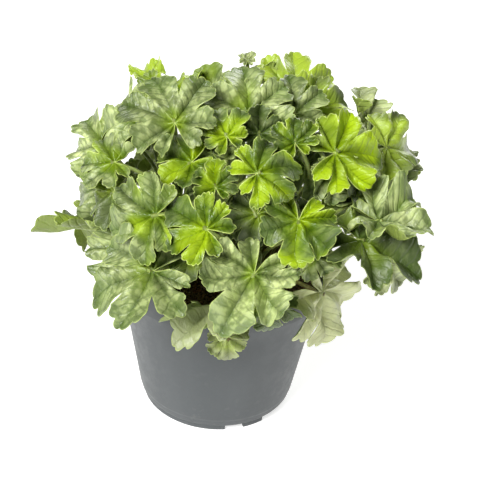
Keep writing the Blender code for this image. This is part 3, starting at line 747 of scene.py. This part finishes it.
def makeStalks(name, rows, number, tree):
    form = stalkForm
    curve = bpy.data.curves.new(name, "CURVE")
    curve.dimensions = "3D"
    for row in rows:
        root, rootHandle, tipHandle, tip = stalkLine(row, number, rows)
        spline = curve.splines.new("POLY")
        spline.points.add(form["spans"])
        for step, point in enumerate(spline.points):
            t = step / form["spans"]
            place = (root * (1 - t) ** 3 + rootHandle * 3 * t * (1 - t) ** 2
                     + tipHandle * 3 * t * t * (1 - t) + tip * t ** 3)
            point.co = (*place, 1.0)
            slim = form["rootRadius"] + (form["tipRadius"] - form["rootRadius"]) * t ** form["taper"]
            point.radius = (slim + form["sheath"] * math.exp(-t * 14)) / form["rootRadius"]
    return addObject(name, grownMesh(addObject(name + "Curve", curve), tree, Sides=form["sides"],
                                     Radius=form["rootRadius"] * mm))


def stalkMaterial(form):
    # fresh stalk: smooth skin, pale lime above and flushed brown where it leaves the crown
    material, add = newMaterial("leaf stalk skin")
    place = add("TexCoord").outputs["Object"]
    speckle = add("TexNoise", place, 1 / (1.1111 * mm), 2.0)
    patch = add("TexNoise", place, 1 / (16.667 * mm), 1.0)
    height = add("SeparateXYZ", place).outputs[2]
    flush = add("MapRange", height, soilHigh.z + 4 * mm, soilHigh.z + 45 * mm, 0.75, 0.0)
    skin = add("Mix", add("MapRange", patch, 0.35, 0.65), form["skin"], form["patches"])
    skin = add("Mix", flush, skin, form["flush"])
    skin = add("Mix", add("MapRange", speckle, 0.5, 0.75, 0.0, 0.35), skin, form["speckles"])
    return finished(material, {
        "Base Color": skin, "Normal": add("Bump", 0.3, 0.1 * mm, sockets={"Height": speckle}),
        "Roughness": 0.5, "Subsurface Weight": 0.1, "Subsurface Scale": 1.0 * mm})


# Crowns: short woody stems, scarred by the leaves they have shed
crownForm = {
    "radius": 5.8,
    "steps": 40,
    "profile": ((0.0, 0.3), (0.25, 0.22), (0.5, 0.0), (0.68, -0.6), (0.80, -1.4), (0.88, -2.6), (0.93, -4.2),
                (0.97, -6.2), (1.0, -8.2), (1.0, -10.5), (0.98, -13.0), (0.95, -20.0), (0.94, -28.0)),
    "scars": 5,
    "scarDepth": 0.55,
    "scarHeight": 2.7,
    "ringPitch": 1.15,
    "swells": (0.08, 0.06),  # of the rings and the scars
    "wallDepth": 26.0,  # below which a crown is plain
    "bark": "#3a2719",
    "worn": "#7a5a3c",
    "flakes": "#98805a",
}


def makeCrown(name, number, material):
    form = crownForm
    profile = [(share * form["radius"], crownSurface + drop) for share, drop in form["profile"]]
    profile.append((0.0, profile[-1][1]))
    points, loops, sizes = turnedShape(profile, form["steps"])
    turn = np.arctan2(points[:, 1], points[:, 0])
    drop = crownSurface - points[:, 2] / mm
    rings = np.abs(np.sin(drop * form["ringPitch"] + number)) ** 0.5
    scars = np.sin(form["scars"] * turn + number * 1.3 + np.floor(drop / form["scarHeight"]) * 2.1)
    wall = np.clip(drop / 3, 0, 1) * (drop < form["wallDepth"])
    ringSwell, scarSwell = form["swells"]
    swell = ringSwell * rings + scarSwell * scars - ringSwell
    points[:, :2] *= (1 + wall * form["scarDepth"] * swell)[:, None]
    points += crownPlace(number)
    return addPiece(name, material, points, loops, sizes)


def crownMaterial(form):
    # woody rhizome: dull brown bark with paler, drier flakes
    material, add = newMaterial("woody crown bark")
    place = add("TexCoord").outputs["Object"]
    grain = add("TexNoise", place, 1 / (2.8571 * mm), 5.0)
    flakes = add("TexVoronoi", place, 1 / (2.381 * mm))
    bark = add("Mix", add("MapRange", grain, 0.35, 0.7), form["bark"], form["worn"])
    bark = add("Mix", add("MapRange", flakes, 0.3, 0.7, 0.0, 0.4), bark, form["flakes"])
    return finished(material, {"Base Color": bark, "Roughness": 0.85,
                               "Normal": add("Bump", 0.7, 0.4 * mm, sockets={"Height": grain})})


# Potting soil: a lumpy bed with crumbs, bark chips and pale grit on it
soilForm = {
    "rings": 60,
    "steps": 200,
    "lumps": ((0.16, 0.9), (0.45, 0.5), (1.2, 0.22)),  # per mm, and height in mm
    "rimDrop": 1.2,
    "taper": 0.77,
    "finish": ("moist potting peat", "#3a2e24", "#634f3e", 3.3333, 0.95),
}
grainForms = {  # count for each square mm; finish: name, dark, light, size of its patches, roughness
    "peatCrumbs": {"count": 0.32, "size": (0.5, 1.5), "faces": 1, "flatness": 0.75, "seed": 3,
                   "finish": ("peat crumbs", "#2e231b", "#7a5e48", 2.0, 0.95)},
    "barkChips": {"count": 0.012, "size": (1.6, 3.6), "faces": 2, "flatness": 0.35, "seed": 8,
                  "finish": ("composted bark", "#3b1f12", "#7c4f31", 5.0, 0.85)},
    "paleGrit": {"count": 0.010, "size": (0.45, 0.95), "faces": 1, "flatness": 0.8, "seed": 5,
                 "finish": ("sand and perlite grit", "#8a6f4c", "#d8cdb8", 3.3333, 0.8)},
}


def makeSoil(name, material):
    form = soilForm
    steps = form["steps"]
    turns = [2 * math.pi * step / steps for step in range(steps)]
    bedRadius = (soilHigh.x - soilLow.x) / 2
    lowRadius = bedRadius * form["taper"]
    edgeHeight = rimHeight - soilDepth * mm
    points = []
    for share in np.linspace(0, 1, form["rings"] + 1)[1:]:
        for turn in turns:
            x, y = math.cos(turn) * share * bedRadius, math.sin(turn) * share * bedRadius
            height = edgeHeight + soilHeap * mm * (0.5 + 0.5 * math.cos(math.pi * share * 0.9))
            for scale, amount in form["lumps"]:
                spot = Vector((x / mm * scale, y / mm * scale, 7.3 * scale))
                height += noise.noise(spot) * amount * mm
            height -= form["rimDrop"] * mm * max(0, share - 0.93) / 0.07  # it has shrunk from the wall
            points.append((axisX + x, axisY + y, height))
    for radius, height in ((bedRadius * 0.995, edgeHeight - 0.010), (lowRadius, soilLow.z + 0.003),
                           (lowRadius - 0.003, soilLow.z)):
        points += [(axisX + math.cos(turn) * radius, axisY + math.sin(turn) * radius, height)
                   for turn in turns]
    rows = len(points) // steps
    points += [(axisX, axisY, edgeHeight + soilHeap * mm), (axisX, axisY, soilLow.z)]
    return addPiece(name, material, points, *closedFaces(steps, rows))


def crumbShapes(name, faces, flatness, seed):
    # a few rough grains that the scatter picks from
    folder = newFolder(name)
    for number in range(5):
        shape = bmesh.new()
        bmesh.ops.create_icosphere(shape, subdivisions=faces, radius=1.0)
        for vertex in shape.verts:
            spot = vertex.co * 1.3 + Vector((seed * 3.1, number * 5.7, 0))
            vertex.co *= 1 + 0.45 * noise.noise(spot)
            vertex.co.z *= flatness
            if flatness < 0.5:  # a chip
                vertex.co.x *= 1.25
                vertex.co.y *= 0.7
        keepShape(folder, f"{name}{number}", shape)
    return folder


def scatterTree(name, folder, material):
    # Geometry Nodes: grains strewn over the upward faces of the bed, turned and sized at random
    tree, add, start = newTree(name, Density="Float", Smallest="Float", Largest="Float", Edge="Float",
                               Seed="Int")
    upward = add("SeparateXYZ", add("GeometryNodeInputNormal")).outputs[2]
    away = add("VectorMath", add("GeometryNodeInputPosition"), (1.0, 1.0, 0.0), (-axisX, -axisY, 0.0),
               **scaled)
    away = add("VectorMath", away, operation="LENGTH")
    inside = add("Math", away, start["Edge"], operation="LESS_THAN")
    both = add("Math", inside, add("Math", upward, 0.3, operation="GREATER_THAN"), **times)
    points = add("GeometryNodeDistributePointsOnFaces", start["Geometry"], both, start["Density"],
                 start["Seed"])
    grains = add("GeometryNodeCollectionInfo", folder, True, True)
    seed = {"Seed": start["Seed"]}
    turns = add("FunctionNodeRandomValue", (0, 0, 0), (6.28, 6.28, 6.28), sockets=seed,
                data_type="FLOAT_VECTOR")
    sizes = add("FunctionNodeRandomValue", start["Smallest"], start["Largest"], sockets=seed,
                data_type="FLOAT")
    placed = add("GeometryNodeInstanceOnPoints", points,
                 sockets={"Instance": grains, "Pick Instance": True, "Rotation": turns, "Scale": sizes})
    endTree(add, placed, material)
    return tree


def strewGrains(name, bed, form, edge):
    folder = crumbShapes(name + "Shape", form["faces"], form["flatness"], form["seed"])
    tree = scatterTree(name + "Scatter", folder, grainMaterial(*form["finish"]))
    small, large = form["size"]
    grains = grownMesh(addObject(name + "Bed", bed.data), tree, Density=form["count"] / (mm * mm),
                       Smallest=small * mm, Largest=large * mm, Edge=edge, Seed=form["seed"])
    removeFolder(folder)
    return addObject(name, grains)


def grainMaterial(name, dark, light, size, roughness):
    # rough and matt; each grain takes its own shade from where it lies
    material, add = newMaterial(name)
    place = add("TexCoord").outputs["Object"]
    shade = add("MapRange", add("TexNoise", place, 1 / (size * mm), 3.0), 0.35, 0.65)
    fine = add("TexNoise", place, 1 / (0.55556 * mm), 4.0)
    return finished(material, {"Base Color": add("Mix", shade, dark, light), "Roughness": roughness,
                               "Normal": add("Bump", 0.6, 0.3 * mm, sockets={"Height": fine})})


# Pot: injection-moulded polypropylene, thin, with a collar at the rim and a notched foot ring
potForm = {
    "collarDepth": 15.5,
    "collarLean": 0.6,
    "wallTop": 60.6,
    "wallFoot": 46.3,
    "wall": 1.4,
    "lip": 2.0,
    "footHeight": 3.4,
    "footRadius": 44.5,
    "footWidth": 2.4,
    "floor": 1.6,
    "corner": 6.0,
    "steps": 256,
    "footGaps": ((10, 25), (42, 105), (190, 205), (222, 285)),  # degrees from the front
    "drains": 6,
    "drainRadius": 4.0,
    "drainCircle": 30.0,
}


def potProfile(form):
    # half a cut through the pot, from the middle of its floor up, over the lip, down and under the floor
    top, rim = rimHeight / mm, rimRadius / mm
    foot, wall, lip = form["footHeight"], form["wall"], form["lip"] / 2
    ledge = top - form["collarDepth"]
    floor, corner = foot + form["floor"], foot + form["corner"]
    inside, collar = rim - form["lip"], rim - form["collarLean"]
    ringOuter, ringInner = form["footRadius"], form["footRadius"] - form["footWidth"]

    def side(height):
        share = (height - foot) / (ledge - foot)
        return form["wallFoot"] + (form["wallTop"] - form["wallFoot"]) * share

    return [(0.0, floor), (side(floor) - 4.0, floor), (side(floor) - 3.0, floor + 0.3),
            (side(floor + 2) - wall - 0.4, floor + 1.6), (side(floor + 4) - wall, floor + 4.0),
            (side(ledge) - wall, ledge + 0.6), (side(ledge) - wall + 0.5, ledge + 1.4),
            (inside - 0.5, ledge + 2.2), (inside - 0.1, ledge + 2.8), (inside, top - 1.4),
            *((rim - lip + lip * math.cos(turn), top - 0.8 + 0.8 * math.sin(turn))
              for turn in np.radians(range(180, -1, -20))),  # the rounded lip
            (rim - 0.05, top - 3.0), (collar, ledge + 0.5), (collar - 0.15, ledge + 0.1),
            (collar - 0.6, ledge), (form["wallTop"] + 0.5, ledge), (form["wallTop"] + 0.1, ledge - 0.15),
            (side(ledge - 0.6), ledge - 0.6),
            *((side(height), height) for height in (70, 55, 40, 25, corner + 3, corner + 0.5)),
            (side(corner) - 0.05, corner - 0.1), (side(corner) - 0.35, corner - 0.5),
            (side(corner - 2.0) - 0.40, corner - 2.0), (side(foot + 1.8) - 0.45, foot + 1.8),
            (side(foot) - 0.75, foot + 0.8), (ringOuter + 0.45, foot + 0.1), (ringOuter + 0.1, foot - 0.3),
            (ringOuter, 0.4), (ringOuter - 0.4, 0.0), (ringInner + 0.3, 0.0), (ringInner, 0.3),
            (ringInner - 0.3, foot - 0.2), (ringInner - 0.7, foot), (0.0, foot)]


def makePot(name, material):
    form = potForm
    pot = addPiece(name, material, *turnedShape(potProfile(form), form["steps"]))
    cutters = newFolder("potCutters")
    near, far = (form["footRadius"] - form["footWidth"] * 1.8) * mm, (form["footRadius"] + 4) * mm
    low, high = -0.003, form["footHeight"] * mm - 0.0002
    # wedges cut the gaps of the foot ring, and cylinders the drain holes
    for first, last in form["footGaps"]:
        spans = max(2, (last - first) // 5)
        shape = bmesh.new()
        rows = []
        for step in range(spans + 1):
            bearing = math.radians(first + (last - first) * step / spans)
            rows.append([shape.verts.new(around(radius, bearing, height)) for radius, height in
                         ((near, low), (far, low), (far, high), (near, high))])
        for one, two in zip(rows, rows[1:]):
            for side in range(4):
                after = (side + 1) % 4
                shape.faces.new((one[side], one[after], two[after], two[side]))
        shape.faces.new(rows[0][::-1])
        shape.faces.new(rows[-1])
        bmesh.ops.recalc_face_normals(shape, faces=shape.faces)
        keepShape(cutters, "footGap", shape)
    radius, circle = form["drainRadius"] * mm, form["drainCircle"] * mm
    for number in range(form["drains"]):
        shape = bmesh.new()
        bmesh.ops.create_cone(shape, cap_ends=True, segments=40, radius1=radius, radius2=radius, depth=0.012)
        place = around(circle, 2 * math.pi * number / form["drains"], 0.004)
        bmesh.ops.translate(shape, verts=shape.verts, vec=place)
        keepShape(cutters, "drainHole", shape)
    boolean = pot.modifiers.new("Cut", "BOOLEAN")
    boolean.operation = "DIFFERENCE"
    boolean.operand_type = "COLLECTION"
    boolean.collection = cutters
    boolean.solver = "EXACT"
    pot.data = evaluatedMesh(pot)
    pot.data.transform(Matrix.Translation((axisX, axisY, 0)))
    pot.data.set_sharp_from_angle(angle=math.radians(32))
    removeFolder(cutters)
    return pot


potFinish = {
    "body": "#4b4f51",
    "worn": "#525658",
    "dust": "#6f7070",
    "roughness": 0.46,
}


def potMaterial(finish):
    # moulded polypropylene: satin, faintly uneven from the mould, dusty and scuffed in places
    material, add = newMaterial("moulded polypropylene")
    place = add("TexCoord").outputs["Object"]
    streaks = add("Mapping", place, sockets={"Scale": (1.0, 1.0, 0.12)})
    broad = add("TexNoise", streaks, 1 / (25 * mm), 2.0)
    scuffs = add("TexNoise", place, 1 / (6.25 * mm), 6.0, 0.7)
    fine = add("TexNoise", place, 1 / (0.66667 * mm), 2.0)
    dusty = add("Math", add("MapRange", scuffs, 0.52, 0.72, 0.0, 0.5),
                add("MapRange", add("SeparateXYZ", place).outputs[2], 0.0, 0.035, 1.0, 0.35), **times)
    colour = add("Mix", add("MapRange", broad, 0.3, 0.7, 0.0, 0.6), finish["body"], finish["worn"])
    rough = finish["roughness"]
    relief = add("Math", broad, 2.0, fine, **scaled)
    return finished(material, {
        "Base Color": add("Mix", dusty, colour, finish["dust"]),
        "Normal": add("Bump", 0.12, 0.2 * mm, sockets={"Height": relief}),
        "Roughness": add("MapRange", scuffs, 0.35, 0.7, rough - 0.04, rough + 0.12), "IOR": 1.49})


# Camera: the photograph's own view, worked out from the pot's rim, walls and foot; left and down
# are its shift beside the line to the point that it aims at
cameraForm = {
    "elevation": 32.06,
    "distance": 851.14,
    "aimHeight": 50.0,
    "left": 12.55,
    "down": 47.92,
    "roll": 3.72,
    "lens": 105.0,
    "sensor": 36.0,
}


def makeCamera(form):
    tilt, roll = math.radians(form["elevation"]), math.radians(form["roll"])
    back = Vector((0, -math.cos(tilt), math.sin(tilt)))
    level = Vector((1, 0, 0))
    over = back.cross(level)
    right = level * math.cos(roll) + over * math.sin(roll)
    up = over * math.cos(roll) - level * math.sin(roll)
    place = Vector((axisX, axisY, form["aimHeight"] * mm)) + back * form["distance"] * mm
    place += right * form["left"] * mm + up * form["down"] * mm
    camera = addObject("camera", bpy.data.cameras.new("camera"))
    camera.data.sensor_width = form["sensor"]
    camera.data.lens = form["lens"]
    camera.data.clip_start = 0.01
    camera.matrix_world = Matrix.Translation(place) @ Matrix((right, up, back)).transposed().to_4x4()
    scene.camera = camera


# Studio: pale floor, a large soft light from the upper left, a weak one on the right, one behind
studioForm = {
    "floorReach": 40.0,  # metres
    "floorColour": "#cfcfce",
    "glowColour": "#f8f8f7",
    "floorGlow": 0.76,
    "lights": {  # power in watts, size and place in metres
        "keyLight": (42.0, 0.7, (-0.66, -1.06, 1.26)),
        "fillLight": (0.4, 1.0, (1.2, -0.5, 0.7)),
        "backLight": (20.0, 1.0, (0.6, 1.30, 0.80)),
    },
    "aimHeight": 120.0,
    "worldStrength": 0.05,
}


def makeStudio(form):
    # smooth paper: matt and almost white, with a faint glow of its own that lifts the shadows
    paper = finished(newMaterial("pale studio paper")[0], {
        "Base Color": form["floorColour"], "Roughness": 0.9, "Emission Color": form["glowColour"],
        "Emission Strength": form["floorGlow"]})
    reach = form["floorReach"]
    corners = ((-reach, -reach, 0), (reach, -reach, 0), (reach, reach, 0), (-reach, reach, 0))
    addPiece("floor", paper, corners, range(4), [4])
    aim = Vector((axisX, axisY, form["aimHeight"] * mm))
    for name, (power, size, place) in form["lights"].items():
        light = bpy.data.lights.new(name, "AREA")
        light.energy = power
        light.size = size
        lamp = addObject(name, light)
        lamp.location = place
        lamp.rotation_euler = (Vector(place) - aim).to_track_quat("Z", "Y").to_euler()
    scene.world = bpy.data.worlds.new("studio")
    scene.world.use_nodes = True
    background = scene.world.node_tree.nodes["Background"].inputs
    background["Color"].default_value = (1.0, 1.0, 1.0, 1.0)
    background["Strength"].default_value = form["worldStrength"]
    scene.view_settings.view_transform = "Standard"


makeCamera(cameraForm)
makeStudio(studioForm)
print("camera and studio ready")

dressed(makePot("nurseryPot", potMaterial(potFinish)), "pot")
print("pot turned and cut")

bed = makeSoil("pottingSoil", grainMaterial(*soilForm["finish"]))
dressed(bed, "soil")
edgeOfBed = (soilHigh.x - soilLow.x) / 2 - 1.5 * mm
for name, form in grainForms.items():
    dressed(strewGrains(name, bed, form, edgeOfBed), "soil")
print("soil laid and strewn")

leafSkin = leafMaterial(leafFinish)
stalkSkin = stalkMaterial(stalkForm)
bark = crownMaterial(crownForm)
sweep = sweepTree("stalkSweep", stalkSkin)
for number, (shoot, rows) in enumerate(leafRows.items()):
    for piece in (makeLeaves(f"leaves_{number}", rows, leafForm, leafSkin, leafForm["seed"] + number),
                  makeStalks(f"stalks_{number}", rows, number, sweep),
                  makeCrown(f"crown_{number}", number, bark)):
        dressed(piece, shoot)
    print("grown", shoot)
